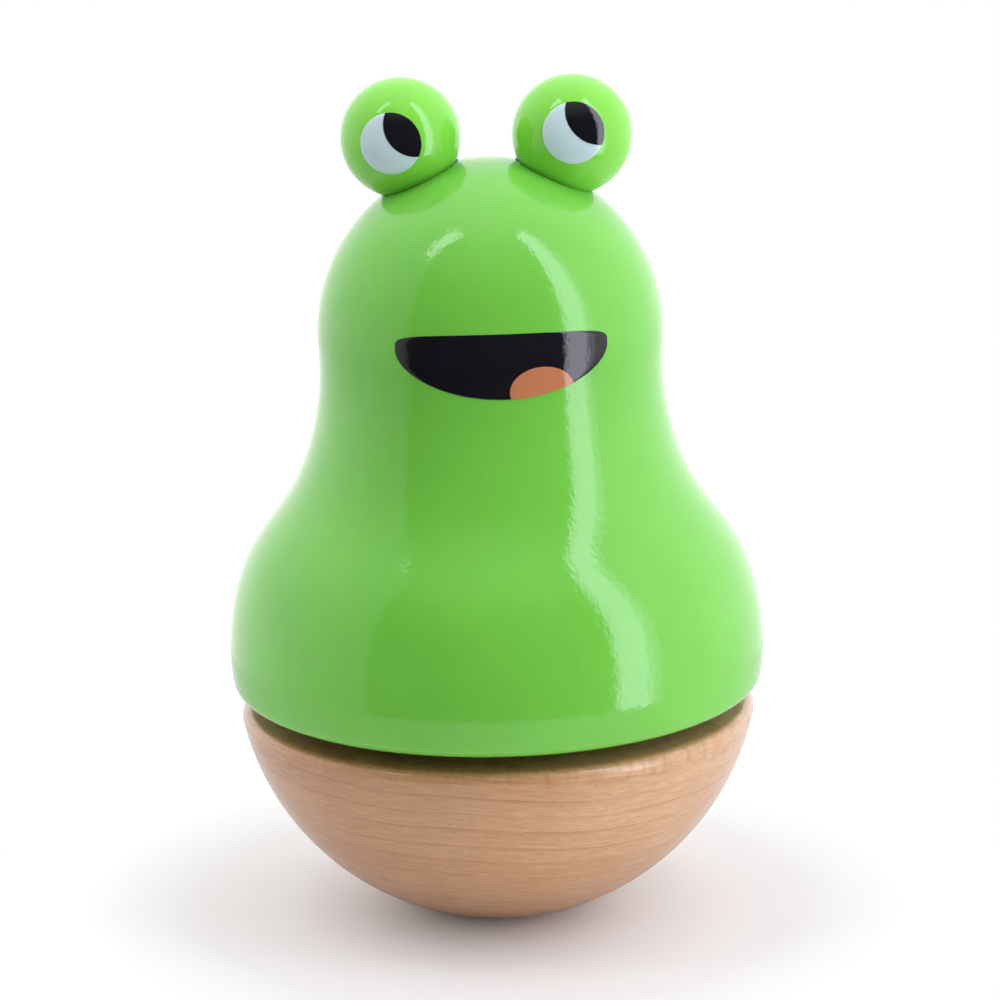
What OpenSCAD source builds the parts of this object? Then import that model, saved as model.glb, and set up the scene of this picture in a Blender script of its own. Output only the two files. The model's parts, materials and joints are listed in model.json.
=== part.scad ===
// Roly-poly wind-up music box: a turned and lacquered frog on a weighted beech bowl.
// Turning the frog on its bowl winds the mainspring, and the frog turns back while the comb plays.
// Frame: origin in the middle of the foot on the table, +Z up, the face looks along -Y. Millimetres.

/* [Turned body] */
// Diameter of the belly
belly_d = 100; // [98:0.5:104]
// Height of the widest ring of the belly above the table
belly_z = 51.6; // [50:0.2:53]
// Profile radius of the belly
belly_curve = 40; // [38:0.5:42]
// Diameter of the round head
head_d = 63.8; // [62:0.2:66]
// Height of the middle of the head
head_z = 110.9; // [109:0.1:113]
// Profile radius of the hollow between belly and head
neck_curve = 47.5; // [44:0.5:54]
// Height of the lower face of the body
body_z = 43.7; // [43:0.1:44.5]
// Rounding of the lower edge of the body
body_edge = 3; // [1:0.25:4]
// Diameter of the bore that lightens the head
head_bore_d = 42; // [30:1:44]

/* [Base bowl] */
// Diameter of the ball that the bowl is cut from
bowl_d = 98.2; // [96:0.1:100]
// Diameter of the flat that the bowl stands on
foot_d = 18; // [14:1:20]
// Height of the rim of the bowl
rim_z = 40.6; // [39.6:0.1:41.6]
// Rounding of the rim
rim_edge = 1.8; // [1:0.2:4]
// Diameter of the ballast weight
weight_d = 54; // [48:1:56]
// Height of the ballast weight
weight_h = 15; // [10:0.5:16]
// Wood left under the ballast weight
weight_z = 12; // [11:0.5:13]

/* [Eyes] */
// Diameter of the eye balls
eye_d = 22; // [20:0.5:23]
// Distance of each eye from the middle
eye_x = 15.6; // [14.5:0.1:16.5]
// Height of the middle of the eyes
eye_z = 146.75; // [146:0.05:147.5]
// Outward lean of each eye on the head
eye_tilt = 21.5; // [18:0.5:25]
// Distance from the middle of a ball down to its flat
eye_seat = 8.4; // [8:0.1:8.8]
// Half angle of the white on a ball
white_angle = 30; // [25:0.5:33]
// Half angle of the circle that cuts the pupil out of the white
pupil_angle = 30.5; // [25:0.5:33]
// Sideways aim of the white on the left ball
left_aim = -9; // [-20:0.5:20]
// Upward aim of the white on the left ball
left_rise = 1.5; // [-5:0.5:15]
// Sideways aim of the white on the right ball
right_aim = 0; // [-20:0.5:20]
// Upward aim of the white on the right ball
right_rise = 9; // [-5:0.5:15]
// Sideways step from the middle of the white to that of the pupil circle
pupil_aside = 26; // [20:0.5:30]
// Upward step from the middle of the white to that of the pupil circle
pupil_up = 18; // [12:0.5:24]

/* [Mouth] */
// Width of the mouth seen from the front
mouth_w = 37.7; // [30:0.1:42]
// Height of the corners of the mouth
mouth_z = 112.9; // [110:0.1:115]
// Rise of the upper lip over the corners
mouth_rise = 3.25; // [2:0.05:4]
// Drop of the lower lip under the corners
mouth_drop = 8.45; // [6:0.05:9]
// Turn of the mouth print round the head
mouth_turn = 4.2; // [-8:0.1:8]
// Diameter of the tongue
tongue_d = 11.3; // [9:0.1:13]
// Distance of the tongue from the middle of the mouth
tongue_x = 6.9; // [0:0.1:9]

/* [Movement] */
// Diameter of the winding arbor
arbor_d = 4; // [3.6:0.1:4.2]
// Outside diameter of the spring housing
housing_d = 27.2; // [26.8:0.1:27.3]
// Turns of the mainspring
spring_turns = 8; // [6:1:8]
// Thickness of the mainspring
spring_t = 0.35; // [0.25:0.05:0.4]
// Notes of the comb
note_count = 18; // [12:1:18]
// Step from note to note
note_step = 0.8; // [0.75:0.01:0.8]
// Diameter of the pinned drum
drum_d = 13; // [12.6:0.1:13]
// Pins in each row of the drum
pins_per_note = 4; // [2:1:5]

/* [Hidden] */
$fn = 96;

// Finishes
green_lacquer = [0.50, 0.80, 0.30];
eye_lacquer = [0.53, 0.84, 0.28];
bare_beech = [0.87, 0.66, 0.45];
steel = [0.66, 0.67, 0.69];
blued_steel = [0.35, 0.38, 0.44];
brass = [0.82, 0.66, 0.32];
zinc = [0.60, 0.61, 0.62];
lead = [0.42, 0.42, 0.44];
nylon = [0.93, 0.92, 0.87];
white_print = [0.88, 0.90, 0.91];
black_print = [0.06, 0.06, 0.06];
tongue_print_colour = [0.78, 0.48, 0.33];

// Radial room of a running pin, and of a glued, pressed or screwed one
running = 0.05;
seated = 0.03;
// Overshoot of a cut past the face that it opens
past = 1;
// Thickness of one layer of print
print_t = 0.1;
// Room under the tip of a screw
tip_room = 0.5;
// Slot of a screw head: its width and depth as shares of the head's radius
slot_w = 0.28;
slot_deep = 0.3;

// Profile of the body: head, hollow neck, belly and lower edge, each arc tangent to the next
head_r = head_d / 2;
head_c = [0, head_z];
belly_c = [belly_d / 2 - belly_curve, belly_z];
neck_to_head = head_r + neck_curve;
neck_to_belly = belly_curve + neck_curve;
head_to_belly = norm(belly_c - head_c);
down_axis = (belly_c - head_c) / head_to_belly;
neck_along = (neck_to_head ^ 2 - neck_to_belly ^ 2 + head_to_belly ^ 2) / (2 * head_to_belly);
neck_aside = sqrt(neck_to_head ^ 2 - neck_along ^ 2);
neck_c = head_c + neck_along * down_axis + neck_aside * [-down_axis[1], down_axis[0]];
head_end = atan2(neck_c[1] - head_c[1], neck_c[0] - head_c[0]);
belly_end = atan2(neck_c[1] - belly_c[1], neck_c[0] - belly_c[0]);
edge_end = asin((body_z + body_edge - belly_z) / (belly_curve - body_edge));
edge_c = belly_c + (belly_curve - body_edge) * [cos(edge_end), sin(edge_end)];

// Profile of the bowl
bowl_r = bowl_d / 2;
foot_r = foot_d / 2;
bowl_z = sqrt(bowl_r ^ 2 - foot_r ^ 2);
foot_end = asin(foot_r / bowl_r) - 90;
rim_end = asin((rim_z - rim_edge - bowl_z) / (bowl_r - rim_edge));
rim_c = [0, bowl_z] + (bowl_r - rim_edge) * [cos(rim_end), sin(rim_end)];
ballast_screw_r = 1.6;
ballast_screw_head = 3.6;
ballast_screw_grip = 8.5;
ballast_hole_room = 0.4;

// Hub, floor disc and the hollow in the body
floor_inset = 1;
floor_t = 4.5;
floor_r = 46;
floor_z = body_z + floor_inset;
plate_z = floor_z + floor_t;
floor_hole_room = 2;
washer_t = 0.8;
washer_r = 13;
washer_in_r = 4.5;
hub_z = floor_z - washer_t;
cavity_r = 39.5;
cavity_bend_z = plate_z + 18.8;
cavity_top_r = 36;
cavity_top_z = plate_z + 27.3;
head_bore_z = head_z + 13;
head_bore_taper = [5, 3];
wood_screw_r = 1.5;
wood_screw_head = 3;
floor_screw_ring = 42.5;
floor_screw_angles = [45:90:315];
floor_screw_length = 12;
insert_r = 3.5;
insert_h = 12;

// Eyes
eye_r = eye_d / 2;
eye_spot_r = 8.1;
dowel_r = 3;
dowel_depth = 8;
dowel_room = 0.3;

// Mouth: how full its lips are, degrees from point to point, margin of the printed band round it
upper_lip_bend = 0.5;
lower_lip_bend = 1.05;
mouth_step = 6;
mouth_margin = 2;

// Movement, measured up from the top of the floor disc
arbor_r = arbor_d / 2;
plate_t = 2.2;
housing_r = housing_d / 2;
housing_h = 7.2;
sheet_t = 0.8;
housing_top = plate_t + housing_h;
tab_t = 0.7;
collar_r = 3;
collar_play = 0.2;
spring_h = 5.4;
spring_steps = 24;
spring_eye = 0.5;
spring_in_r = collar_r + spring_eye;
spring_out_r = housing_r - sheet_t - collar_play;
spring_step = (spring_out_r - spring_in_r - spring_t) / spring_turns;
wheel_gap = 0.5;
wheel_z = housing_top + wheel_gap;
web_t = 1.2;
web_top = wheel_z + web_t;

// Crown teeth of the great wheel and the pinion that rides on them
crown_teeth = 36;
crown_in = 10.8;
crown_out = 12.4;
crown_h = 1.9;
crown_sunk = 0.2;
pinion_teeth = 12;
pinion_tip = 0.8;
pinion_root = 1;
pinion_share = 0.34;
pinion_play = 0.1;
mesh_depth = 1.05;
crown_mid = (crown_in + crown_out) / 2;
pinion_r = crown_mid * pinion_teeth / crown_teeth;
drum_z = web_top + mesh_depth + pinion_r;

// Drum along +X, its gear at the far end
drum_r = drum_d / 2;
drum_wall = 0.9;
drum_margin = 0.8;
pin_h = 0.8;
pin_r = 0.22;
tune_step = 67;
tune_shift = 31;
drum_x = 15.6;
drum_end = drum_x + note_count * note_step + 2 * drum_margin;
shaft_r = 0.9;
shaft_over = 0.4;
gear_teeth = 48;
gear_module = 0.4;
gear_r = gear_teeth * gear_module / 2;
gear_w = 1.2;
tooth_flare = 1.45;
tooth_taper = 0.45;
gear_tip = 0.85 * gear_module;
gear_root = 1.15 * gear_module;
gear_gap = 0.3;
gear_x = drum_end + gear_gap;
gear_share = 0.4;
gear_light_r = 2.2;
gear_light_ring = 5.2;
small_teeth = 10;
small_share = 0.38;
small_over = 0.2;
small_r = small_teeth * gear_module / 2;

// Second arbor beside the drum, and the upright governor beyond it
second_y = gear_r + small_r;
second_r = 0.6;
worm_teeth = 20;
worm_wheel_r = 3.2;
worm_wheel_w = 1.6;
worm_wheel_tip = 0.3;
worm_wheel_root = 0.45;
worm_wheel_share = 0.34;
worm_step = 2 * PI * worm_wheel_r / worm_teeth;
worm_r = 1.35;
worm_offset = 0.36;
worm_turns = 4;
worm_slices = 12;
worm_room = 0.1;
worm_play = 0.02;
fan_x = 26.2;
fan_y = second_y + worm_wheel_r + worm_r + worm_play;
fan_r = 4.4;
fan_hub_r = 1.2;
fan_z = 5;
fan_h = 6;
spindle_r = 0.6;
spindle_play = 0.3;
pivot_r = 0.4;
pivot_length = 1;
pivot_room = 0.2;

// Bedplate, bearing ears, comb and governor bridge
plate_r = 17;
plate_low = [4, -22];
plate_high = [35.2, 19.4];
plate_corner = 7;
near_ear_x = 13.9;
near_ear_y = 3;
ear_t = 1.2;
ear_over = 2.2;
ear_gap = 0.5;
far_ear_x = gear_x + gear_w + ear_gap;
far_ear_y = [-4, second_y + 2.4];
comb_x = drum_x + drum_margin + note_step / 2;
comb_end = comb_x + (note_count - 1) * note_step;
comb_margin = 0.6;
comb_gap = 0.15;
comb_tip_y = -(drum_r + pin_h + comb_gap);
tooth_w = 0.5;
tooth_t = 0.6;
tooth_sunk = 0.4;
comb_t = 2;
comb_top = drum_z + tooth_t / 2;
comb_back_y = -21.2;
pillar_front_y = -17.2;
bass_root_y = -18;
treble_root_y = -14.6;
bridge_x = 19.8;
bridge_t = 1.2;
bridge_room = 1.8;
bridge_end = fan_x + fan_r + bridge_room;
bridge_y = 14.6;
bridge_back = 18.2;
bridge_rise = 4.6;
bridge_z = drum_z + bridge_rise;
bridge_cheek = 2;
bridge_foot = [-1.8, 2.4];

// Ratchet and click on the great wheel
ratchet_teeth = 12;
ratchet_r = 5.2;
ratchet_root = 4.2;
ratchet_t = 1;
clip_gap = 0.1;
clip_z = web_top + ratchet_t + clip_gap;
clip_t = 0.5;
clip_r = 3.2;
groove_h = 0.6;
groove_deep = 0.4;
click_ring = 8;
click_bearing = 40;
click_at = [click_ring * cos(click_bearing), click_ring * sin(click_bearing)];
click_tip = [0.25, 4.75];
click_post_r = 0.6;

// Screws and rivets of the movement: their size and the place of each one of a group
movement_screw_at = [[9, 17], [9, -18.6], [29, -11]];
comb_screw_r = 1;
comb_screw_grip = 5;
comb_screw_at = [[comb_x + 2, -19.4], [comb_end - 2, -19.4]];
bridge_screw_r = 0.8;
bridge_screw_at = [[bridge_x - 2, 16.4], [bridge_end - 3.2, 16.4]];
rivet_r = 0.8;
rivet_head_r = 1.3;
rivet_head_h = 0.6;
rivet_angles = [90, 180, 270];
rivet_ring = 15.4;

// Points on a circle after angle a0 and up to a1, in n steps
function arc(c, r, a0, a1, n) =
    [for (i = [1:n]) let (a = a0 + (a1 - a0) * i / n) c + r * [cos(a), sin(a)]];
function polar(r, a) = r * [cos(a), sin(a)];

// The body's outline from the crown of the head to the lower edge, grown outwards by t
function body_outline(t) = concat(
    [[0, body_z - t]],
    [[0, head_z + head_r + t]],
    arc(head_c, head_r + t, 90, head_end, 30),
    arc(neck_c, neck_curve - t, 180 + head_end, 180 + belly_end, 16),
    arc(belly_c, belly_curve + t, belly_end, edge_end, 14),
    arc(edge_c, body_edge + t, edge_end, -90, 6)
);
function bowl_outline() = concat(
    [[0, 0], [foot_r, 0]],
    arc([0, bowl_z], bowl_r, foot_end, rim_end, 24),
    arc(rim_c, rim_edge, rim_end, 90, 8),
    [[0, rim_z]]
);
// Closed mouth: flat upper lip with round corners over a deep lower lip
function mouth_point(a) = [
    mouth_w / 2 * cos(a),
    sin(a) >= 0 ? mouth_rise * sin(a) ^ upper_lip_bend : -mouth_drop * abs(sin(a)) ^ lower_lip_bend
];
// Gear teeth: each takes a share of the step on the pitch circle, wider at its root, narrower at its tip
function gear_outline(teeth, pitch_r, tip, root, share) = [
    for (i = [0:teeth - 1]) let (mid = 360 * i / teeth, half = 180 * share / teeth)
        each [
            polar(pitch_r - root, mid - tooth_flare * half),
            polar(pitch_r, mid - half),
            polar(pitch_r + tip, mid - tooth_taper * half),
            polar(pitch_r + tip, mid + tooth_taper * half),
            polar(pitch_r, mid + half),
            polar(pitch_r - root, mid + tooth_flare * half)
        ]
];
// Near side of one tooth of the comb
function tooth_x(i) = comb_x + i * note_step - tooth_w / 2;
// One edge of the mainspring's spiral, set off by half its thickness
function spiral(side) = [
    for (i = [0:spring_turns * spring_steps]) let (a = i * 360 / spring_steps)
        polar(spring_in_r + spring_t / 2 + spring_step * a / 360 + side * spring_t / 2, a)
];

// Round bar along Z from z0 to z1
module bar(r, z0, z1) {
    translate([0, 0, z0]) cylinder(r = r, h = z1 - z0);
}
// Turns a shape that stands on Z so that it lies along +X at the drum's height
module along_x(x, y = 0) {
    translate([x, y, drum_z]) rotate([90, 0, 90]) children();
}
module in_movement() {
    translate([0, 0, plate_z]) children();
}
// Rectangle with round corners, between two corners
module rounded(low, high, r) {
    translate([low[0] + r, low[1]]) square([high[0] - low[0] - 2 * r, high[1] - low[1]]);
    translate([low[0], low[1] + r]) square([high[0] - low[0], high[1] - low[1] - 2 * r]);
    for (x = [low[0] + r, high[0] - r], y = [low[1] + r, high[1] - r])
        translate([x, y]) circle(r);
}
// Countersunk screw from z = 0 downwards; room widens it into its hole
module countersunk(shank, length, head, room = 0) {
    rotate_extrude() polygon([
        [0, room], [head + room, room], [head + room, 0], [shank + room, -(head - shank)],
        [shank + room, -length - room], [0, -length - room]
    ]);
}
module slotted_countersunk(shank, length, head) {
    difference() {
        countersunk(shank, length, head);
        translate([-head - past, -head * slot_w / 2, -head * slot_deep])
            cube([2 * (head + past), head * slot_w, head]);
    }
}
// Slotted cheese-head screw, head above z = 0
module cheese_head(shank, length, head, head_h) {
    difference() {
        union() {
            bar(shank, -length, head_h / 2);
            bar(head, 0, head_h);
        }
        translate([-head - past, -head * slot_w / 2, head_h - head * slot_deep])
            cube([2 * (head + past), head * slot_w, head_h]);
    }
}

// The bowl and what is screwed, glued or locked to it
module base_bowl() {
    color(bare_beech) difference() {
        rotate_extrude() polygon(bowl_outline());
        bar(weight_d / 2 + seated, weight_z, rim_z + past);
        bar(ballast_screw_r + seated, weight_z - ballast_screw_grip - tip_room, weight_z + past);
    }
}
module ballast_weight() {
    chamfer = 1.2;
    r = weight_d / 2 - seated;
    top = weight_z + weight_h;
    color(steel) difference() {
        rotate_extrude() polygon([
            [0, weight_z], [r - chamfer, weight_z], [r, weight_z + chamfer],
            [r, top - chamfer], [r - chamfer, top], [0, top]
        ]);
        translate([0, 0, top])
            countersunk(ballast_screw_r + ballast_hole_room, weight_h + past,
                ballast_screw_head + ballast_hole_room, seated);
    }
}
module ballast_screw() {
    color(steel) translate([0, 0, weight_z + weight_h])
        slotted_countersunk(ballast_screw_r, weight_h + ballast_screw_grip, ballast_screw_head);
}
module hub_plug() {
    chamfer = 1;
    r = weight_d / 2 - seated;
    bottom = weight_z + weight_h;
    color(bare_beech) difference() {
        rotate_extrude() polygon([
            [0, bottom], [r, bottom], [r, hub_z - chamfer], [r - chamfer, hub_z], [0, hub_z]
        ]);
        bar(insert_r + seated, hub_z - insert_h - seated, hub_z + past);
    }
}
module threaded_insert() {
    color(brass) difference() {
        bar(insert_r, hub_z - insert_h, hub_z);
        bar(arbor_r + running, hub_z - insert_h - past, hub_z + past);
    }
}
module thrust_washer() {
    color(nylon) difference() {
        bar(washer_r, hub_z, floor_z);
        bar(washer_in_r, hub_z - past, floor_z + past);
    }
}
// Arbor: threaded foot in the insert, collar for the spring, groove for the clip at the top
module winding_arbor() {
    chamfer = 0.5;
    tip_h = 0.8;
    foot = hub_z - insert_h + tip_room;
    collar = plate_z + plate_t + collar_play;
    collar_top = plate_z + housing_top - sheet_t - collar_play;
    groove = plate_z + clip_z;
    groove_top = groove + groove_h;
    color(steel) rotate_extrude() polygon([
        [0, foot], [arbor_r - chamfer, foot], [arbor_r, foot + chamfer],
        [arbor_r, collar], [collar_r, collar], [collar_r, collar_top], [arbor_r, collar_top],
        [arbor_r, groove], [arbor_r - groove_deep, groove], [arbor_r - groove_deep, groove_top],
        [arbor_r, groove_top], [arbor_r - chamfer, groove_top + tip_h], [0, groove_top + tip_h]
    ]);
}
// Great wheel: a web with upright crown teeth round its rim
module great_wheel() {
    root_w = 1.05;
    tip_w = 0.5;
    hole_r = 1.7;
    hole_ring = 7.6;
    hole_angles = [190, 250, 310];
    color(brass) in_movement() difference() {
        union() {
            bar(crown_out + crown_sunk, wheel_z, web_top);
            for (i = [0:crown_teeth - 1])
                rotate((i + 0.5) * 360 / crown_teeth)
                    translate([crown_in, 0, web_top]) rotate([90, 0, 90])
                        linear_extrude(crown_out - crown_in) polygon([
                            [-root_w / 2, -crown_sunk], [root_w / 2, -crown_sunk], [root_w / 2, 0],
                            [tip_w / 2, crown_h], [-tip_w / 2, crown_h], [-root_w / 2, 0]
                        ]);
        }
        bar(arbor_r + seated, wheel_z - past, web_top + past);
        translate(click_at) bar(click_post_r + seated, wheel_z - past, web_top + past);
        for (a = hole_angles)
            translate(polar(hole_ring, a)) bar(hole_r, wheel_z - past, web_top + past);
    }
}
module ratchet_wheel() {
    color(blued_steel) in_movement() translate([0, 0, web_top]) difference() {
        linear_extrude(ratchet_t) polygon([
            for (i = [0:ratchet_teeth - 1]) let (a = 90 + 360 * i / ratchet_teeth)
                each [polar(ratchet_root, a), polar(ratchet_r, a)]
        ]);
        bar(arbor_r + seated, -past, ratchet_t + past);
    }
}
module retaining_clip() {
    inner_r = arbor_r - groove_deep;
    mouth = 2 * inner_r - groove_deep;
    color(steel) in_movement() translate([0, 0, clip_z + (groove_h - clip_t) / 2])
        linear_extrude(clip_t) difference() {
            circle(clip_r);
            circle(inner_r + seated);
            translate([0, -mouth / 2]) square([clip_r + past, mouth]);
        }
}
module click_post() {
    head_r = 1.1;
    head_h = 0.4;
    color(steel) in_movement() translate(click_at) {
        bar(click_post_r, wheel_z, clip_z + head_h / 2);
        bar(head_r, clip_z, clip_z + head_h);
    }
}
// Leaf that holds the click down, from a round tab on the wheel to the back of the click
module click_spring() {
    tab = [-6.2, 6.3];
    tip = [2.6, 5.78];
    tab_r = 1.1;
    leaf = [0, 0.25];
    leaf_h = 0.9;
    color(blued_steel) in_movement() translate([0, 0, web_top]) linear_extrude(leaf_h) {
        translate(tab) circle(tab_r);
        polygon([tab, tip, tip + leaf, tab + leaf]);
    }
}
// Click: a strut from its post to the foot of a ratchet tooth
module click_pawl() {
    boss_r = 1.3;
    play = 0.05;
    root = [-0.9, 0.4];
    tip = [-0.62, 0.2];
    reach = click_tip - click_at;
    side = [-reach[1], reach[0]] / norm(reach);
    color(steel) in_movement() translate([0, 0, web_top + play]) linear_extrude(ratchet_t - 2 * play)
        difference() {
            union() {
                translate(click_at) circle(boss_r);
                polygon([
                    click_at + root[1] * side, click_at + root[0] * side,
                    click_tip + tip[0] * side, click_tip + tip[1] * side
                ]);
            }
            translate(click_at) circle(click_post_r + running);
        }
}

// The frog and what turns with it
module body_shell() {
    color(green_lacquer) difference() {
        rotate_extrude() polygon(body_outline(0));
        rotate_extrude() polygon([
            [0, body_z - past], [floor_r + seated, body_z - past], [floor_r + seated, plate_z],
            [cavity_r, plate_z], [cavity_r, cavity_bend_z], [cavity_top_r, cavity_top_z],
            [head_bore_d / 2, cavity_top_z], [head_bore_d / 2, head_bore_z - head_bore_taper[1]],
            [head_bore_d / 2 - head_bore_taper[0], head_bore_z], [0, head_bore_z]
        ]);
        at_floor_screws() bar(wood_screw_r + seated, 0, floor_screw_length + tip_room);
        for (side = [-1, 1]) at_eye(side) {
            bar(eye_spot_r, -eye_seat, 0);
            bar(dowel_r + seated, -eye_seat - dowel_depth - dowel_room, 0);
        }
    }
}
module at_floor_screws() {
    for (a = floor_screw_angles)
        rotate(a) translate([floor_screw_ring, 0, floor_z]) children();
}
module at_movement_screws() {
    for (p = movement_screw_at)
        translate([p[0], p[1], floor_z]) children();
}
module floor_disc() {
    color(green_lacquer) difference() {
        bar(floor_r, floor_z, plate_z);
        bar(arbor_r + floor_hole_room, floor_z - past, plate_z + past);
        at_floor_screws() screw_hole();
        at_movement_screws() screw_hole();
    }
}
module screw_hole() {
    rotate([180, 0, 0]) countersunk(wood_screw_r, floor_t + past, wood_screw_head, seated);
}
module floor_screws() {
    color(steel) at_floor_screws() rotate([180, 0, 0])
        slotted_countersunk(wood_screw_r, floor_screw_length, wood_screw_head);
}
module movement_screws() {
    color(steel) at_movement_screws() rotate([180, 0, 0])
        slotted_countersunk(wood_screw_r, floor_t + plate_t, wood_screw_head);
}
// Frame of one eye: its middle at the origin, its seat straight below
module at_eye(side) {
    translate([side * eye_x, 0, eye_z]) rotate([0, side * eye_tilt, 0]) children();
}
module eye_ball(side) {
    color(eye_lacquer) at_eye(side) difference() {
        sphere(eye_r);
        bar(2 * eye_r, -2 * eye_r, -eye_seat);
        bar(dowel_r + seated, -eye_seat - past, -eye_seat + dowel_depth + dowel_room);
    }
}
module eye_left() {
    eye_ball(-1);
}
module eye_right() {
    eye_ball(1);
}
module eye_dowels() {
    color(bare_beech) for (side = [-1, 1]) at_eye(side)
        bar(dowel_r, -eye_seat - dowel_depth, -eye_seat + dowel_depth);
}
// Round cutter of a given half angle, aimed sideways and upwards from the middle of a ball
module aimed(aim, rise, angle) {
    rotate([90 - rise, 0, aim]) cylinder(r = eye_r * sin(angle), h = 2 * eye_r);
}
module eye_layer(side, lower) {
    translate([side * eye_x, 0, eye_z]) intersection() {
        difference() {
            sphere(eye_r + lower + print_t);
            sphere(eye_r + lower);
        }
        children();
    }
}
module eye_white(side, aim, rise) {
    color(white_print) eye_layer(side, 0) aimed(aim, rise, white_angle);
}
module pupil(side, aim, rise) {
    color(black_print) eye_layer(side, print_t) intersection() {
        aimed(aim, rise, white_angle);
        aimed(aim + pupil_aside, rise + pupil_up, pupil_angle);
    }
}
module eye_white_left() {
    eye_white(-1, left_aim, left_rise);
}
module eye_white_right() {
    eye_white(1, right_aim, right_rise);
}
module pupil_left() {
    pupil(-1, left_aim, left_rise);
}
module pupil_right() {
    pupil(1, right_aim, right_rise);
}
// One layer of print on the head, cut to a flat outline seen from the front
module head_layer(lower) {
    intersection() {
        rotate_extrude() intersection() {
            difference() {
                polygon(body_outline(lower + print_t));
                polygon(body_outline(lower));
            }
            translate([0, mouth_z - mouth_drop - mouth_margin])
                square([belly_d, mouth_drop + mouth_rise + 2 * mouth_margin]);
        }
        rotate(mouth_turn) translate([0, 0, mouth_z]) rotate([90, 0, 0])
            linear_extrude(belly_d) children();
    }
}
module mouth_outline() {
    polygon([for (a = [0:mouth_step:360 - mouth_step]) mouth_point(a)]);
}
module mouth_print() {
    color(black_print) head_layer(0) mouth_outline();
}
module tongue_print() {
    color(tongue_print_colour) head_layer(print_t) intersection() {
        mouth_outline();
        translate([tongue_x, -mouth_drop]) circle(tongue_d / 2);
    }
}

// Cast bedplate with the pillar of the comb and the bearing ears of the drum
module bedplate() {
    sunk = plate_t / 2;
    ear_h = drum_z + ear_over - sunk;
    pillar_top = comb_top - comb_t;
    color(zinc) in_movement() difference() {
        union() {
            linear_extrude(plate_t) {
                circle(plate_r);
                rounded(plate_low, plate_high, plate_corner);
            }
            translate([comb_x - comb_margin, comb_back_y, sunk]) cube([
                comb_end - comb_x + 2 * comb_margin, pillar_front_y - comb_back_y, pillar_top - sunk
            ]);
            translate([near_ear_x, -near_ear_y, sunk]) cube([ear_t, 2 * near_ear_y, ear_h]);
            translate([far_ear_x, far_ear_y[0], sunk]) cube([ear_t, far_ear_y[1] - far_ear_y[0], ear_h]);
        }
        bar(arbor_r + running, -past, plate_t + past);
        along_x(near_ear_x - past) cylinder(r = shaft_r + running, h = far_ear_x);
        along_x(far_ear_x - past, second_y) cylinder(r = second_r + running, h = 2 * past + ear_t);
        translate([fan_x, fan_y])
            bar(pivot_r + running, plate_t - pivot_length - pivot_room, plate_t + past);
        plate_holes(movement_screw_at, wood_screw_r);
        plate_holes(bridge_screw_at, bridge_screw_r);
        plate_holes([for (a = rivet_angles) polar(rivet_ring, a)], rivet_r);
        for (p = comb_screw_at)
            translate(p) bar(comb_screw_r + seated, pillar_top - comb_screw_grip - tip_room, comb_top);
    }
}
module plate_holes(places, r) {
    for (p = places)
        translate(p) bar(r + seated, -past, plate_t + past);
}
// Drawn cup over the mainspring, with three riveted tabs
module spring_housing() {
    brim = 0.5;
    skirt = plate_t + 0.1;
    bore_r = arbor_r + running;
    wall_r = housing_r - sheet_t;
    roof = housing_top - sheet_t;
    color(brass) in_movement() {
        rotate_extrude() polygon([
            [bore_r, roof], [wall_r, roof], [wall_r, skirt], [housing_r, skirt],
            [housing_r, housing_top - brim], [housing_r - brim, housing_top], [bore_r, housing_top]
        ]);
        for (a = rivet_angles)
            rotate(a) translate([0, 0, plate_t]) linear_extrude(tab_t) difference() {
                housing_tab();
                translate([rivet_ring, 0]) circle(rivet_r + seated);
            }
    }
}
module housing_tab() {
    half = 2.3;
    inner = housing_r - sheet_t / 2;
    shoulder = rivet_ring + 0.4;
    outer = rivet_ring + 1.5;
    polygon([
        [inner, -half], [shoulder, -half], [outer, -half / 2],
        [outer, half / 2], [shoulder, half], [inner, half]
    ]);
}
module housing_rivets() {
    seat = plate_t + tab_t;
    color(steel) in_movement() for (a = rivet_angles) translate(polar(rivet_ring, a)) {
        bar(rivet_r, 0, seat + rivet_head_h / 2);
        bar(rivet_head_r, seat, seat + rivet_head_h);
    }
}
module mainspring() {
    color(blued_steel) in_movement()
        translate([0, 0, (plate_t + housing_top - sheet_t - spring_h) / 2]) linear_extrude(spring_h)
            polygon(concat(spiral(1), [for (i = [spring_turns * spring_steps:-1:0]) spiral(-1)[i]]));
}
// Comb: one steel plate with a tooth for each note, longest in the bass
module comb() {
    color(steel) in_movement() difference() {
        union() {
            translate([0, 0, comb_top - comb_t]) linear_extrude(comb_t) polygon([
                [comb_x - comb_margin, comb_back_y], [comb_end + comb_margin, comb_back_y],
                [comb_end + comb_margin, treble_root_y], [comb_x - comb_margin, bass_root_y]
            ]);
            for (i = [0:note_count - 1])
                translate([tooth_x(i), bass_root_y - tooth_sunk, comb_top - tooth_t])
                    cube([tooth_w, comb_tip_y - bass_root_y + tooth_sunk, tooth_t]);
        }
        for (p = comb_screw_at)
            translate(p) bar(comb_screw_r + running, comb_top - comb_t - past, comb_top + past);
    }
}
// Lead weights that tune the bass teeth, one under the tip of each
module comb_weights() {
    weighted = floor(note_count / 3);
    set_back = 3.6;
    length = 2.6;
    tallest = 1.8;
    lessening = 0.15;
    color(lead) in_movement() for (i = [0:weighted - 1])
        translate([tooth_x(i), comb_tip_y - set_back, comb_top - tooth_t])
            mirror([0, 0, 1]) cube([tooth_w, length, tallest - lessening * i]);
}
module comb_screws() {
    head_r = 1.7;
    head_h = 1.2;
    color(steel) in_movement() for (p = comb_screw_at)
        translate([p[0], p[1], comb_top])
            cheese_head(comb_screw_r, comb_t + comb_screw_grip, head_r, head_h);
}
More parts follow.
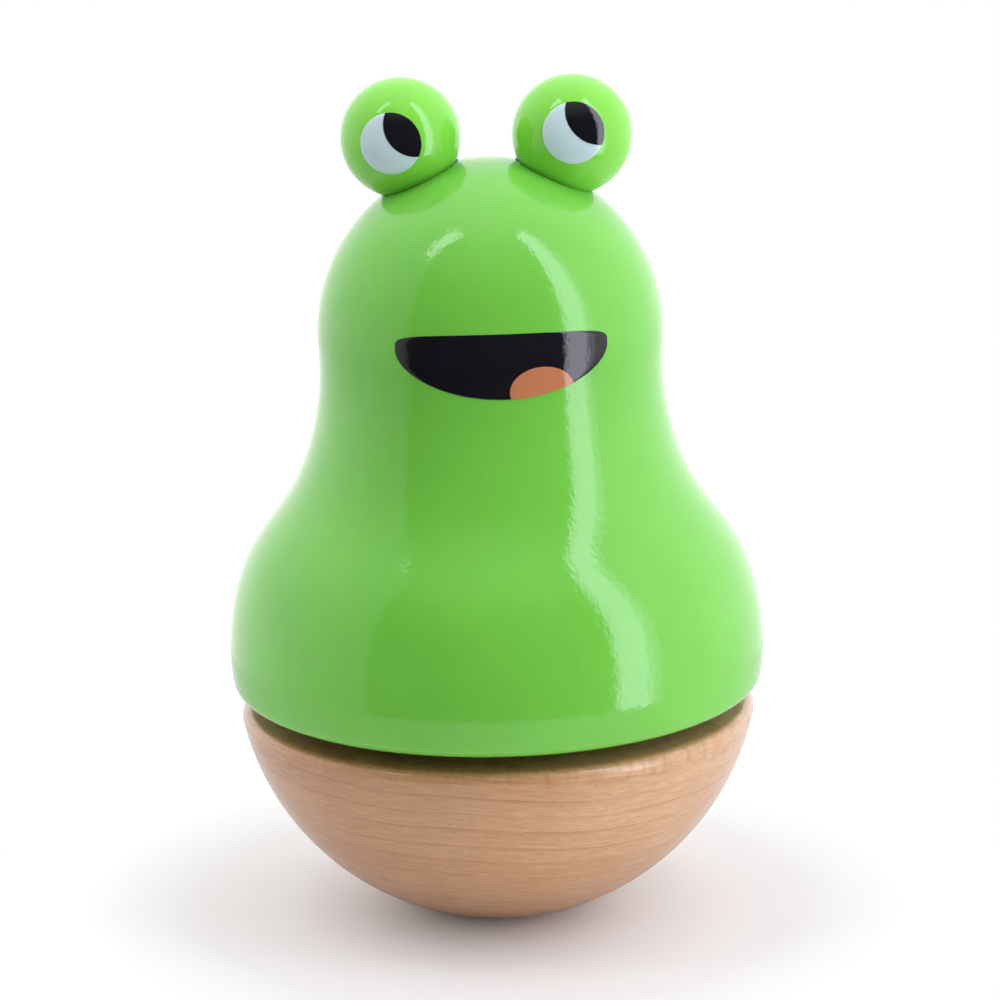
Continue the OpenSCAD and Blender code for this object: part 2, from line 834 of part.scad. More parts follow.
// Bridge over the governor: two legs with feet, the upper pivot and the second arbor's near bearing
module governor_bridge() {
    leg_h = bridge_z + bridge_t - plate_t;
    depth = bridge_back - bridge_y;
    cheek_y = second_y - bridge_cheek;
    color(zinc) in_movement() difference() {
        union() {
            translate([bridge_x, cheek_y, plate_t]) cube([bridge_t, bridge_back - cheek_y, leg_h]);
            translate([bridge_end - bridge_t, bridge_y, plate_t]) cube([bridge_t, depth, leg_h]);
            translate([bridge_x, bridge_y, bridge_z]) cube([bridge_end - bridge_x, depth, bridge_t]);
            for (p = bridge_screw_at)
                translate([p[0] + bridge_foot[0], bridge_y, plate_t])
                    cube([bridge_foot[1] - bridge_foot[0], depth, bridge_t]);
        }
        along_x(bridge_x - past, second_y) cylinder(r = second_r + running, h = bridge_t + 2 * past);
        translate([fan_x, fan_y]) bar(pivot_r + running, bridge_z - past, bridge_z + bridge_t + past);
        for (p = bridge_screw_at)
            translate(p) bar(bridge_screw_r + running, plate_t - past, plate_t + bridge_t + past);
    }
}
module bridge_screws() {
    grip = 1;
    head_r = 1.3;
    head_h = 0.9;
    color(steel) in_movement() for (p = bridge_screw_at)
        translate([p[0], p[1], plate_t + bridge_t])
            cheese_head(bridge_screw_r, plate_t + grip, head_r, head_h);
}

// Pinned drum with its caps, shaft, pinion and gear
module pin_drum() {
    length = drum_end - drum_x;
    color(brass) in_movement() along_x(drum_x) difference() {
        union() {
            cylinder(r = drum_r, h = length);
            for (i = [0:note_count - 1], j = [0:pins_per_note - 1])
                rotate(tune_step * i + 360 * j / pins_per_note + tune_shift * ((i * j) % 3))
                    translate([0, 0, comb_x - drum_x + i * note_step]) rotate([0, 90, 0])
                        translate([0, 0, drum_r - drum_wall / 2])
                            cylinder(r = pin_r, h = pin_h + drum_wall / 2, $fn = 6);
        }
        translate([0, 0, -past]) cylinder(r = drum_r - drum_wall, h = length + 2 * past);
    }
}
module drum_caps() {
    cap_t = 1.2;
    color(brass) in_movement() for (x = [drum_x, drum_end - cap_t])
        along_x(x) linear_extrude(cap_t) difference() {
            circle(drum_r - drum_wall - seated);
            circle(shaft_r + seated);
        }
}
module drum_shaft() {
    color(steel) in_movement() along_x(crown_in - shaft_over)
        cylinder(r = shaft_r, h = far_ear_x + ear_t - crown_in + 2 * shaft_over);
}
module drum_pinion() {
    color(brass) in_movement() along_x(crown_in + pinion_play)
        linear_extrude(crown_out - crown_in - 2 * pinion_play) difference() {
            polygon(gear_outline(pinion_teeth, pinion_r, pinion_tip, pinion_root, pinion_share));
            circle(shaft_r + seated);
        }
}
module drum_gear() {
    color(brass) in_movement() along_x(gear_x) linear_extrude(gear_w) difference() {
        polygon(gear_outline(gear_teeth, gear_r, gear_tip, gear_root, gear_share));
        circle(shaft_r + seated);
        for (a = [45:90:315])
            translate(polar(gear_light_ring, a)) circle(gear_light_r);
    }
}

// Second arbor: driven by the drum gear, turns the worm wheel
module second_arbor() {
    color(steel) in_movement() along_x(bridge_x - shaft_over, second_y)
        cylinder(r = second_r, h = far_ear_x + ear_t - bridge_x + 2 * shaft_over);
}
module second_pinion() {
    color(steel) in_movement() along_x(gear_x - small_over, second_y)
        linear_extrude(gear_w + 2 * small_over) difference() {
            rotate(180 + 180 / small_teeth)
                polygon(gear_outline(small_teeth, small_r, gear_tip, gear_root, small_share));
            circle(second_r + seated);
        }
}
module worm_wheel() {
    color(brass) in_movement() along_x(fan_x - worm_wheel_w / 2, second_y)
        linear_extrude(worm_wheel_w) difference() {
            polygon(gear_outline(
                worm_teeth, worm_wheel_r, worm_wheel_tip, worm_wheel_root, worm_wheel_share
            ));
            circle(second_r + seated);
        }
}

// Governor: upright spindle with a single-start worm and a two-winged air brake
module governor_spindle() {
    color(steel) in_movement() translate([fan_x, fan_y]) {
        bar(spindle_r, plate_t + spindle_play, bridge_z - spindle_play);
        bar(pivot_r, plate_t - pivot_length, bridge_z + pivot_length);
    }
}
module governor_worm() {
    length = worm_turns * worm_step;
    color(brass) in_movement() translate([fan_x, fan_y, drum_z - length / 2]) rotate(90)
        linear_extrude(length, twist = -360 * worm_turns, slices = worm_slices * worm_turns, $fn = 10)
            difference() {
                translate([worm_offset, 0]) circle(worm_r - worm_play);
                circle(spindle_r + worm_room);
            }
}
module governor_fan() {
    wing_t = 0.4;
    color(nylon) in_movement() translate([fan_x, fan_y]) difference() {
        union() {
            bar(fan_hub_r, fan_z, fan_z + fan_h);
            translate([-fan_r, -wing_t / 2, fan_z]) cube([2 * fan_r, wing_t, fan_h]);
        }
        bar(spindle_r + seated, fan_z - past, fan_z + fan_h + past);
    }
}

base_bowl();
ballast_weight();
ballast_screw();
hub_plug();
threaded_insert();
thrust_washer();
winding_arbor();
great_wheel();
ratchet_wheel();
retaining_clip();
click_post();
click_spring();
click_pawl();
body_shell();
floor_disc();
floor_screws();
eye_left();
eye_right();
eye_dowels();
eye_white_left();
eye_white_right();
pupil_left();
pupil_right();
mouth_print();
tongue_print();
bedplate();
movement_screws();
spring_housing();
housing_rivets();
mainspring();
comb();
comb_weights();
comb_screws();
governor_bridge();
bridge_screws();
pin_drum();
drum_caps();
drum_shaft();
drum_pinion();
drum_gear();
second_arbor();
second_pinion();
worm_wheel();
governor_spindle();
governor_worm();
governor_fan();
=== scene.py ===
# Wind-up roly-poly music box: a lacquered wooden frog that turns on a weighted beech bowl.
# Metres, +Z up, the middle of the foot at the origin, the face looks along -Y.
import json
import math

import bmesh
import bpy
from mathutils import Matrix, Vector
from mathutils.geometry import interpolate_bezier


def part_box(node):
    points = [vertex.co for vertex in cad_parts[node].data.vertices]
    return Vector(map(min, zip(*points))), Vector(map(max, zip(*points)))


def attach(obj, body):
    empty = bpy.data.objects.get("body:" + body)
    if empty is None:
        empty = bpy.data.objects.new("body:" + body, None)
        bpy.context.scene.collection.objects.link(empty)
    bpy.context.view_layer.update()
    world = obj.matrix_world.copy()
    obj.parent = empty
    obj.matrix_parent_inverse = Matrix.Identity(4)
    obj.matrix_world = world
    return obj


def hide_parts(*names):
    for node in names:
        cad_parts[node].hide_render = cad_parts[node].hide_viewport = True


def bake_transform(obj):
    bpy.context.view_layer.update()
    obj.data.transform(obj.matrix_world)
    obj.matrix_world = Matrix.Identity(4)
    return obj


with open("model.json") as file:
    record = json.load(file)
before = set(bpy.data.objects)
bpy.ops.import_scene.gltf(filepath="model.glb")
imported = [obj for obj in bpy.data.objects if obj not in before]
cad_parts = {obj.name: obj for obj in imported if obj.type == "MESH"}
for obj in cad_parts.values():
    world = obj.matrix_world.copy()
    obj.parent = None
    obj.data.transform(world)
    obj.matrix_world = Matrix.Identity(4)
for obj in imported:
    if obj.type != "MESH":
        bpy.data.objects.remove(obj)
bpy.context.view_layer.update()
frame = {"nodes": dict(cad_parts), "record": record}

MM = 0.001
QUARTER = math.pi / 2

# Sizes that the frame gives
body_low, body_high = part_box("body_shell")
_, bowl_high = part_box("base_bowl")
_, floor_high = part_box("floor_disc")
weight_low, weight_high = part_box("ballast_weight")
_, eye_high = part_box("eye_right")
belly_r = body_high.x
body_z = body_low.z
rim_z = bowl_high.z
floor_r = floor_high.x
plate_z = floor_high.z
weight_r = weight_high.x
weight_z = weight_low.z
eye_r = eye_high.y
eye_x = eye_high.x - eye_r
eye_z = eye_high.z - eye_r

# Turned body: head, hollow neck, belly and lower edge, each arc tangent to the next
BELLY_Z = 51.6 * MM
BELLY_CURVE = 40 * MM
NECK_CURVE = 47.5 * MM
BODY_EDGE = 3 * MM
HEAD_Z = 110.9 * MM
head_r = body_high.z - HEAD_Z
# Soft run from the neck into the belly: what it takes of either arc, and its two handles
FLANK_UP = 21.4 * MM
FLANK_DOWN = 21.5 * MM
FLANK_HANDLES = (21.5 * MM, 21.1 * MM)
FLANK_POINTS = 56
# Hollow inside the body
CAVITY_R = 39.5 * MM
CAVITY_BEND = 18.8 * MM
CAVITY_TOP_R = 36 * MM
CAVITY_TOP = 27.3 * MM
HEAD_BORE_R = 21 * MM
HEAD_BORE_RISE = 13 * MM
HEAD_BORE_CONE = (5 * MM, 3 * MM)

# Bowl
BOWL_R = 49.1 * MM
FOOT_R = 9 * MM
RIM_EDGE = 1.8 * MM
PILOT_R = 1.63 * MM
PILOT_DEPTH = 9 * MM

# Eyes: on each side, the aim of the white in degrees sideways and upwards
EYE_TILT = 21.5
EYE_SEAT = 8.4 * MM
SPOT_R = 8.1 * MM
DOWEL_R = 3.03 * MM
DOWEL_DEPTH = 8.3 * MM
WHITE_ANGLE = 30
PUPIL_ANGLE = 30.5
PUPIL_STEP = (26, 18)
EYES = {"left": (-1, (-9, 1.5)), "right": (1, (0, 9))}

# Mouth
MOUTH_W = 37.7 * MM
MOUTH_Z = 112.9 * MM
MOUTH_RISE = 3.25 * MM
MOUTH_DROP = 8.45 * MM
MOUTH_TURN = 4.2
UPPER_LIP_BEND = 0.42
LOWER_LIP_BEND = 1.05
TONGUE_AT = Vector((6.75, -7.25)) * MM
TONGUE_REACH = (5.85 * MM, 4.4 * MM)

# Click spring, seen from above: a round tab, and a leaf from it to the back of the pawl
TAB_AT = Vector((-6.2, 6.3)) * MM
TAB_R = 1.1 * MM
TAB_FACETS = 32
LEAF_TIP = Vector((2.6, 5.78)) * MM
LEAF_T = 0.25 * MM
LEAF_STEPS = 28

# Film of the prints, and how far it is sunk into what it lies on
FILM = 0.1 * MM
SUNK = 0.05 * MM
FILM_RINGS = 14
# Width of the film's rounded edge, in rings
FILM_EDGE = 0.25

# Fineness of the meshes
STEP = 0.8 * MM
EDGE_STEP = STEP / 3
EYE_STEP = STEP / 2.5
FEWEST_STEPS = 4
BODY_FACETS = 288
EYE_FACETS = 144
CUTTER_FACETS = 160
OUTLINE_POINTS = 240
SAME_PLACE = 1e-6
SHARP = math.radians(32)

# Camera: place, turn, dip and roll in radians, focal length in pixels of a 1000 pixel frame
CAMERA_AT = Vector((0.07, -630.57, 235.22)) * MM
CAMERA_YAW = -0.0017
CAMERA_DIP = 0.2436
CAMERA_ROLL = -0.0206
FOCAL_PIXELS = 3486.83
FRAME_PIXELS = 1000
SENSOR = 36

scene = bpy.context.scene


# Nodes

# Where a noise counts as at its lowest and at its highest
NOISE_LOW = 0.3
NOISE_HIGH = 0.7
# Sockets of a mix of colours, by number because a mix has several of each name
FIRST_COLOUR = 6
SECOND_COLOUR = 7
MIXED_COLOUR = 2
WHITE = (255, 255, 255)


def make(tree, kind, inputs=None, **settings):
    """A new node; each input takes a plain value or the output of another node."""
    made = tree.nodes.new(kind)
    for key, value in settings.items():
        setattr(made, key, value)
    for key, value in (inputs or {}).items():
        if isinstance(value, bpy.types.NodeSocket):
            tree.links.new(value, made.inputs[key])
        else:
            made.inputs[key].default_value = value
    return made


def calculate(tree, operation, *values):
    """The output of a math node."""
    return make(tree, "ShaderNodeMath", dict(enumerate(values)), operation=operation).outputs[0]


def linear(value):
    """A screen's value from 0 to 255 as a share of light, by the usual screen curve."""
    share = value / 255
    if share <= 0.04045:
        return share / 12.92
    return ((share + 0.055) / 1.055) ** 2.4


def srgb(red, green, blue):
    """A screen colour in the light that a shader works with."""
    return (linear(red), linear(green), linear(blue), 1.0)


def ramp(tree, factor, steps):
    """Colours that follow a factor, from steps of a position and a colour."""
    made = make(tree, "ShaderNodeValToRGB", {"Fac": factor})
    elements = made.color_ramp.elements
    while len(elements) < len(steps):
        elements.new(1.0)
    for element, (position, colour) in zip(elements, steps):
        element.position = position
        element.color = colour
    return made.outputs["Color"]


def tints(tree, factor, steps):
    """Screen colours that follow a factor."""
    return ramp(tree, factor, [(position, srgb(*colour)) for position, colour in steps])


def two_tone(tree, factor, low, high):
    """From one screen colour to another, as a noise rises."""
    return tints(tree, factor, ((NOISE_LOW, low), (NOISE_HIGH, high)))


def greys(tree, factor, steps):
    """Greys that follow a factor."""
    return ramp(tree, factor, [(position, (grey, grey, grey, 1)) for position, grey in steps])


def noise(tree, place, scale, detail=2.0, roughness=0.5):
    """Cloudy pattern from 0 to 1, with scale in features per metre."""
    return make(tree, "ShaderNodeTexNoise", {
        "Vector": place, "Scale": scale, "Detail": detail, "Roughness": roughness,
    }).outputs["Fac"]


def stretched(tree, place, scale, turn=(0, 0, 0)):
    """Coordinates turned and stretched for a pattern that runs one way."""
    return make(tree, "ShaderNodeMapping", {
        "Vector": place, "Rotation": [math.radians(a) for a in turn], "Scale": scale,
    }).outputs["Vector"]


def grain(tree, place, stretch, detail, roughness=0.5):
    """Noise drawn out one way, with its stretch in features per metre along each axis."""
    return noise(tree, stretched(tree, place, stretch), 1, detail, roughness)


def spread(tree, factor, low, high, start=NOISE_LOW, end=NOISE_HIGH):
    """A factor spread between two values."""
    return make(tree, "ShaderNodeMapRange", {
        "Value": factor, "From Min": start, "From Max": end, "To Min": low, "To Max": high,
    }).outputs["Result"]


def bump(tree, height, distance, below=None):
    """Relief of a given depth in metres, over another one if there is one."""
    inputs = {"Height": height, "Distance": distance, "Strength": 1.0}
    if below is not None:
        inputs["Normal"] = below
    return make(tree, "ShaderNodeBump", inputs).outputs["Normal"]


def mix(tree, share, colour, other, way="MIX"):
    """One colour mixed with another."""
    return make(tree, "ShaderNodeMix", {
        0: share, FIRST_COLOUR: colour, SECOND_COLOUR: other,
    }, data_type="RGBA", blend_type=way).outputs[MIXED_COLOUR]


def multiply(tree, colour, other, share=1.0):
    """One colour darkened by another."""
    return mix(tree, share, colour, other, "MULTIPLY")


def either(tree, share, first, second):
    """One shader or another."""
    return make(tree, "ShaderNodeMixShader", {0: share, 1: first, 2: second}).outputs["Shader"]


def new_finish(name):
    """A material with its tree, its shader and the piece's own coordinates."""
    material = bpy.data.materials.new(name)
    material.use_nodes = True
    tree = material.node_tree
    shader = tree.nodes["Principled BSDF"]
    place = make(tree, "ShaderNodeTexCoord").outputs["Object"]
    return material, tree, shader, place


def dress(tree, shader, **inputs):
    """Wires patterns and plain values into the shader's sockets."""
    for key, value in inputs.items():
        socket = shader.inputs[key.replace("_", " ")]
        if isinstance(value, bpy.types.NodeSocket):
            tree.links.new(value, socket)
        else:
            socket.default_value = value


# Finishes

# Lacquer: features per metre of each pattern, and the depth of its relief
LACQUER_CLOUDS = 45
LACQUER_SHEEN = 300
GRIT = 1500
PEEL = 750
PEEL_DEPTH = 2.2e-5
FLOW = 130
FLOW_DEPTH = 9e-6
NIBS = 80
NIB_SIZE = 0.028
NIB_DEPTH = 5e-5
# Depth of the fine grit that breaks up the edges of what gloss mirrors
GRIT_IN_LACQUER = 1.2e-5
GRIT_IN_PRINT = 4e-6
# Each lacquer: its deep and its full colour, and the depth of its grit
LACQUERS = {
    "green_lacquer": ((103, 181, 63), (109, 188, 68), GRIT_IN_LACQUER),
    # The eyes' green is a lighter, yellower copy of the body's: partly the balls' own paint, partly
    # painted light for the brighter light that the eyes catch
    "eye_lacquer": ((118, 201, 61), (124, 207, 66), GRIT_IN_LACQUER),
    "white_print": ((189, 210, 215), (195, 216, 221), GRIT_IN_PRINT),
    "black_print": ((15, 15, 20), (20, 20, 26), GRIT_IN_PRINT),
    "tongue_print": ((177, 111, 75), (185, 119, 81), GRIT_IN_PRINT),
}


def lacquer(name, deep, full, grit_depth):
    """Thick gloss lacquer: faint clouds, orange peel, grit and a few dust nibs."""
    material, tree, shader, place = new_finish(name)
    colour = two_tone(tree, noise(tree, place, LACQUER_CLOUDS, detail=3), deep, full)
    grit = bump(tree, noise(tree, place, GRIT, detail=1), grit_depth)
    peel = bump(tree, noise(tree, place, PEEL, detail=1), PEEL_DEPTH, grit)
    flow = bump(tree, noise(tree, place, FLOW, detail=1), FLOW_DEPTH, peel)
    cells = make(tree, "ShaderNodeTexVoronoi", {"Vector": place, "Scale": NIBS}).outputs["Distance"]
    nibs = bump(tree, spread(tree, cells, 1, 0, 0, NIB_SIZE), NIB_DEPTH, flow)
    dress(
        tree, shader, Base_Color=colour, Normal=nibs, IOR=1.5,
        Roughness=spread(tree, noise(tree, place, LACQUER_SHEEN, detail=2), 0.05, 0.085),
    )
    return material


# Beech: lie of the grain in degrees, and how it wanders, as a stretch in features per metre and a reach
GRAIN_LIE = (2.5, -2, 0)
SWEEP = ((16, 16, 16), 3 * MM)
RIPPLE = ((14, 14, 150), 1.4 * MM)
# Patterns along the grain: stretch in features per metre, detail and roughness of the noise
RING_STRENGTH = ((16, 16, 190), 2, 0.5)
BANDS = ((7, 7, 80), 2, 0.5)
THREADS = ((190, 190, 2600), 3, 0.6)
SPECKLE = ((600, 600, 2200), 2, 0.6)
PORES = ((550, 550, 4600), 1, 0.5)
RAYS = ((800, 800, 260), 1, 0.5)
# Even patterns, in features per metre
YEAR_RINGS = 92
BLUSH = 24
GROUND = 30
# Least and most strength of the year rings, and the range of the noise that they follow
RING_RANGE = (0.3, 1.0, 0.42, 0.66)
# Depths under the rim at which the rays start, and are full
RAYS_DEPTH = 9 * MM
RAYS_FULL = RAYS_DEPTH / 3
THREAD_DEPTH = 1.5e-5
SPECKLE_DEPTH = 0.8e-5
# What each pattern multiplies the ground with, as steps of a position and a screen colour
GROUND_TINTS = ((0.3, (214, 179, 145)), (0.7, (219, 184, 150)))
RING_TINTS = (
    (0.0, WHITE), (0.14, (248, 245, 241)), (0.78, (247, 243, 238)),
    (0.95, (229, 213, 200)), (1.0, (234, 219, 207)),
)
# Painted light across the bowl along X: darker and warmer on the left, lighter and whiter on the right,
# which faces the key lamp
PAINTED_SIDE_LIGHT_TINTS = (
    (0.1, (232, 213, 190)), (0.38, (236, 220, 199)), (0.5, (241, 231, 209)),
    (0.65, (250, 249, 233)), (0.8, (253, 253, 243)), (0.95, (248, 245, 236)),
)
BAND_TINTS = ((0.35, (244, 238, 229)), (0.65, WHITE))
BLUSH_TINTS = ((0.45, WHITE), (0.7, (252, 239, 230)))
THREAD_TINTS = ((0.3, (235, 228, 221)), (0.7, WHITE))
SPECKLE_TINTS = ((0.3, (243, 238, 233)), (0.7, WHITE))
PORE_TINTS = ((0.69, WHITE), (0.83, (200, 177, 160)))
RAY_TINTS = ((0.42, WHITE), (0.7, (245, 226, 214)))


def wavy(tree, place, stretch, reach):
    """Coordinates that drift up and down by a reach in metres."""
    waves = grain(tree, place, stretch, detail=2)
    drift = calculate(tree, "MULTIPLY_ADD", waves, 2 * reach, -reach)
    lift = make(tree, "ShaderNodeCombineXYZ", {"Z": drift}).outputs["Vector"]
    return make(tree, "ShaderNodeVectorMath", {0: place, 1: lift}, operation="ADD").outputs["Vector"]


def year_rings(tree, ground, grown):
    """The ground with year rings that fade in and out along the grain."""
    years = make(tree, "ShaderNodeTexWave", {
        "Vector": grown, "Scale": YEAR_RINGS,
    }, bands_direction="Z", wave_profile="SAW").outputs["Fac"]
    strong = spread(tree, grain(tree, grown, *RING_STRENGTH), *RING_RANGE)
    return multiply(tree, ground, tints(tree, years, RING_TINTS), strong)


def beech():
    """Beech under clear lacquer, its grain laid level, with painted light that makes it lighter and
    whiter towards its right side.
    """
    material, tree, shader, place = new_finish("beech")
    lie = stretched(tree, place, (1, 1, 1), turn=GRAIN_LIE)
    swept = wavy(tree, lie, *SWEEP)
    grown = wavy(tree, swept, *RIPPLE)
    along = make(tree, "ShaderNodeSeparateXYZ", {0: swept}).outputs
    near_rim = spread(tree, along["Z"], 0, 1, rim_z - RAYS_DEPTH, rim_z - RAYS_FULL)
    threads = grain(tree, grown, *THREADS)
    speckle = grain(tree, grown, *SPECKLE)
    patterns = (
        # Painted light: the wood turns lighter and whiter from left to right across the bowl
        (spread(tree, along["X"], 0, 1, -BOWL_R, BOWL_R), PAINTED_SIDE_LIGHT_TINTS),
        (grain(tree, grown, *BANDS), BAND_TINTS),
        (noise(tree, lie, BLUSH, detail=2), BLUSH_TINTS),
        (threads, THREAD_TINTS),
        (speckle, SPECKLE_TINTS),
        (grain(tree, grown, *PORES), PORE_TINTS),
        (calculate(tree, "MULTIPLY", grain(tree, lie, *RAYS), near_rim), RAY_TINTS),
    )
    ground = tints(tree, noise(tree, place, GROUND, detail=2), GROUND_TINTS)
    colour = year_rings(tree, ground, grown)
    for pattern, steps in patterns:
        colour = multiply(tree, colour, tints(tree, pattern, steps))
    relief = bump(tree, threads, THREAD_DEPTH, bump(tree, speckle, SPECKLE_DEPTH))
    dress(
        tree, shader, Base_Color=colour, IOR=1.5, Normal=relief,
        Roughness=spread(tree, threads, 0.5, 0.4),
        Coat_Weight=0.8, Coat_Roughness=0.16, Coat_Normal=relief,
    )
    return material


# Metal: features per metre of its patches and tool marks, and the depth of the marks
PATCHES = 220
TOOL_MARKS = (250, 250, 5000)
MARK_DEPTH = 3e-6
# Each metal: its dull and its bright colour, its least and its most roughness
METALS = {
    "steel": ((168, 170, 174), (205, 207, 210), 0.22, 0.36),
    "blued_steel": ((52, 60, 84), (92, 104, 134), 0.22, 0.34),
    "brass": ((196, 158, 78), (226, 192, 110), 0.2, 0.34),
    "zinc": ((138, 141, 146), (172, 175, 180), 0.4, 0.55),
    "lead": ((88, 90, 95), (118, 120, 126), 0.5, 0.65),
}


def metal(name, dull, bright, smooth, rough):
    """Worked metal: dull and bright patches, and fine tool marks round the upright axis."""
    material, tree, shader, place = new_finish(name)
    patches = noise(tree, place, PATCHES, detail=4, roughness=0.6)
    marks = grain(tree, place, TOOL_MARKS, detail=2)
    dress(
        tree, shader, Base_Color=two_tone(tree, patches, dull, bright), Metallic=1.0,
        Normal=bump(tree, marks, MARK_DEPTH), Roughness=spread(tree, patches, smooth, rough),
    )
    return material


# Nylon: features per metre of its clouds and of its matt surface, and the depth of that
NYLON_CLOUDS = 160
NYLON_MATT = 2500
NYLON_DEPTH = 4e-6
NYLON_TONES = ((224, 220, 204), (240, 238, 226))


def nylon():
    """Moulded natural nylon, a little cloudy."""
    material, tree, shader, place = new_finish("nylon")
    clouds = noise(tree, place, NYLON_CLOUDS, detail=3)
    dress(
        tree, shader, Base_Color=two_tone(tree, clouds, *NYLON_TONES),
        Normal=bump(tree, noise(tree, place, NYLON_MATT, detail=2), NYLON_DEPTH),
        Roughness=spread(tree, clouds, 0.4, 0.55),
    )
    return material


finishes = {name: lacquer(name, *look) for name, look in LACQUERS.items()}
finishes["beech"] = beech()
for metal_name, metal_look in METALS.items():
    finishes[metal_name] = metal(metal_name, *metal_look)
finishes["nylon"] = nylon()


# Turning

def place_on_lathe(tree, profile, count, facets):
    """Place of a point of a grid with a row for each point of the profile and a column for each turn."""
    index = make(tree, "GeometryNodeInputIndex").outputs["Index"]
    half_on = calculate(tree, "ADD", index, 0.5)
    column = calculate(tree, "FLOOR", calculate(tree, "DIVIDE", half_on, count))
    row = calculate(tree, "FLOOR", calculate(tree, "MODULO", half_on, count))
    sample = make(tree, "GeometryNodeSampleIndex", {
        "Geometry": profile, "Index": row,
    }, data_type="FLOAT_VECTOR")
    tree.links.new(make(tree, "GeometryNodeInputPosition").outputs[0], sample.inputs["Value"])
    point = make(tree, "ShaderNodeSeparateXYZ", {0: sample.outputs["Value"]}).outputs
    turned = calculate(tree, "DIVIDE", column, facets)
    angle = calculate(tree, "MULTIPLY", turned, math.tau)
    return make(tree, "ShaderNodeCombineXYZ", {
        "X": calculate(tree, "MULTIPLY", point["X"], calculate(tree, "COSINE", angle)),
        "Y": calculate(tree, "MULTIPLY", point["X"], calculate(tree, "SINE", angle)),
        "Z": point["Z"],
    }).outputs["Vector"]


def lathe_tree():
    """Turns a profile, drawn in X and Z from axis to axis, into a closed solid round the Z axis."""
    tree = bpy.data.node_groups.new("lathe", "GeometryNodeTree")
    face = tree.interface
    face.new_socket("Profile", in_out="INPUT", socket_type="NodeSocketGeometry")
    facets = face.new_socket("Facets", in_out="INPUT", socket_type="NodeSocketInt")
    finish = face.new_socket("Finish", in_out="INPUT", socket_type="NodeSocketMaterial")
    face.new_socket("Turning", in_out="OUTPUT", socket_type="NodeSocketGeometry")
    given = make(tree, "NodeGroupInput").outputs
    profile = given["Profile"]
    count = make(tree, "GeometryNodeAttributeDomainSize", {0: profile}).outputs["Point Count"]
    grid = make(tree, "GeometryNodeMeshGrid", {
        "Vertices X": calculate(tree, "ADD", given["Facets"], 1.0), "Vertices Y": count,
    }).outputs["Mesh"]
    moved = make(tree, "GeometryNodeSetPosition", {
        "Geometry": grid, "Position": place_on_lathe(tree, profile, count, given["Facets"]),
    })
    merged = make(tree, "GeometryNodeMergeByDistance", {
        "Geometry": moved.outputs[0], "Distance": SAME_PLACE,
    })
    smooth = make(tree, "GeometryNodeSetShadeSmooth", {"Geometry": merged.outputs[0]})
    real = make(tree, "GeometryNodeRealizeInstances", {"Geometry": smooth.outputs[0]})
    coated = make(tree, "GeometryNodeSetMaterial", {
        "Geometry": real.outputs[0], "Material": given["Finish"],
    })
    make(tree, "NodeGroupOutput", {0: coated.outputs[0]})
    return tree, facets.identifier, finish.identifier


lathe, facets_input, finish_input = lathe_tree()


def add_piece(name, mesh):
    """A new object in the scene."""
    piece = bpy.data.objects.new(name, mesh)
    scene.collection.objects.link(piece)
    return piece


def bake(piece):
    """Makes what the modifiers show the piece's plain mesh."""
    shown = piece.evaluated_get(bpy.context.evaluated_depsgraph_get())
    mesh = bpy.data.meshes.new_from_object(shown)
    piece.modifiers.clear()
    piece.data = mesh


def face_outwards(mesh):
    """Turns the faces of a closed mesh outwards, and keeps its true edges sharp."""
    work = bmesh.new()
    work.from_mesh(mesh)
    bmesh.ops.recalc_face_normals(work, faces=work.faces)
    work.to_mesh(mesh)
    work.free()
    mesh.set_sharp_from_angle(angle=SHARP)


def turn(name, profile, facets, finish, place=Matrix.Identity(4)):
    """A turned piece from the points of its profile, each the distance from the axis and the height."""
    blank = bpy.data.meshes.new(name)
    links = [(i, i + 1) for i in range(len(profile) - 1)]
    blank.from_pydata([(r, 0, z) for r, z in profile], links, [])
    piece = add_piece(name, blank)
    modifier = piece.modifiers.new("lathe", "NODES")
    modifier.node_group = lathe
    modifier[facets_input] = facets
    modifier[finish_input] = finish
    bake(piece)
    face_outwards(piece.data)
    piece.data.transform(place)
    return piece


def solid(name, points, faces, finish):
    """A closed piece from its points and faces."""
    mesh = bpy.data.meshes.new(name)
    mesh.from_pydata(points, [], faces)
    mesh.materials.append(finish)
    mesh.shade_smooth()
    face_outwards(mesh)
    return add_piece(name, mesh)


def settle(piece, body, slot, *nodes):
    """The piece rides on a body and stands for its nodes; the slot is not used."""
    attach(piece, body)
    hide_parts(*nodes)


def heading(angle):
    """Direction at an angle in a drawing."""
    return Vector((math.cos(angle), math.sin(angle)))


def arc(centre, radius, start, end, step=STEP):
    """Points on an arc, without the first one, which ends the stretch before it."""
    count = max(FEWEST_STEPS, math.ceil(abs(end - start) * radius / step))
    angles = [start + (end - start) * (i + 1) / count for i in range(count)]
    return [(centre[0] + radius * math.cos(a), centre[1] + radius * math.sin(a)) for a in angles]


# Outline of the body: the middle of each arc, and the angles at which one passes into the next
head_c = Vector((0, HEAD_Z))
belly_c = Vector((belly_r - BELLY_CURVE, BELLY_Z))
head_to_belly = (belly_c - head_c).length
down = (belly_c - head_c) / head_to_belly
neck_to_head = head_r + NECK_CURVE
neck_to_belly = BELLY_CURVE + NECK_CURVE
neck_along = (neck_to_head ** 2 - neck_to_belly ** 2 + head_to_belly ** 2) / (2 * head_to_belly)
neck_aside = math.sqrt(neck_to_head ** 2 - neck_along ** 2)
neck_c = head_c + neck_along * down + neck_aside * Vector((-down.y, down.x))
head_end = math.atan2(neck_c.y - head_c.y, neck_c.x - head_c.x)
belly_end = math.atan2(neck_c.y - belly_c.y, neck_c.x - belly_c.x)
edge_end = math.asin((body_z + BODY_EDGE - BELLY_Z) / (BELLY_CURVE - BODY_EDGE))
edge_c = belly_c + (BELLY_CURVE - BODY_EDGE) * heading(edge_end)


